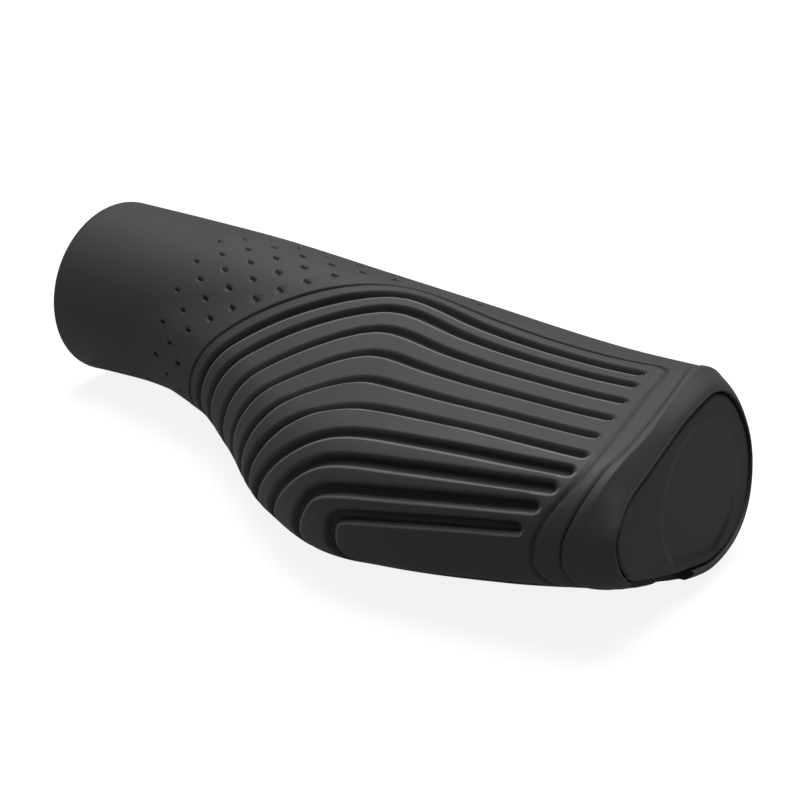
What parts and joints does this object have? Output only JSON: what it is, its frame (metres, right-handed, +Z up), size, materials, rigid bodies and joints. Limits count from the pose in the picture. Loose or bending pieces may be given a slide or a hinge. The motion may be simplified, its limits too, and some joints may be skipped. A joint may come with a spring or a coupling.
{
  "type": "bicycle handlebar grip",
  "caption": "Right-hand ergonomic handlebar grip: a round sleeve that widens into a rear palm wing with wrap-around ribs, a slanted collared end and an inset end cap.",
  "frame": {"origin": "on the handlebar axis, in the plane of the inboard end face", "axes": "+X outboard along the handlebar axis, -Y rearward to the rider and the palm wing, +Z up"},
  "size_m": [0.1366, 0.0607, 0.0325],
  "materials": {
    "rubber": "matt charcoal moulded rubber",
    "cap_plastic": "matt black moulded plastic"
  },
  "bodies": {
    "root": {"grip_sleeve": "rubber", "end_cap": "cap_plastic"}
  },
  "joints": []
}
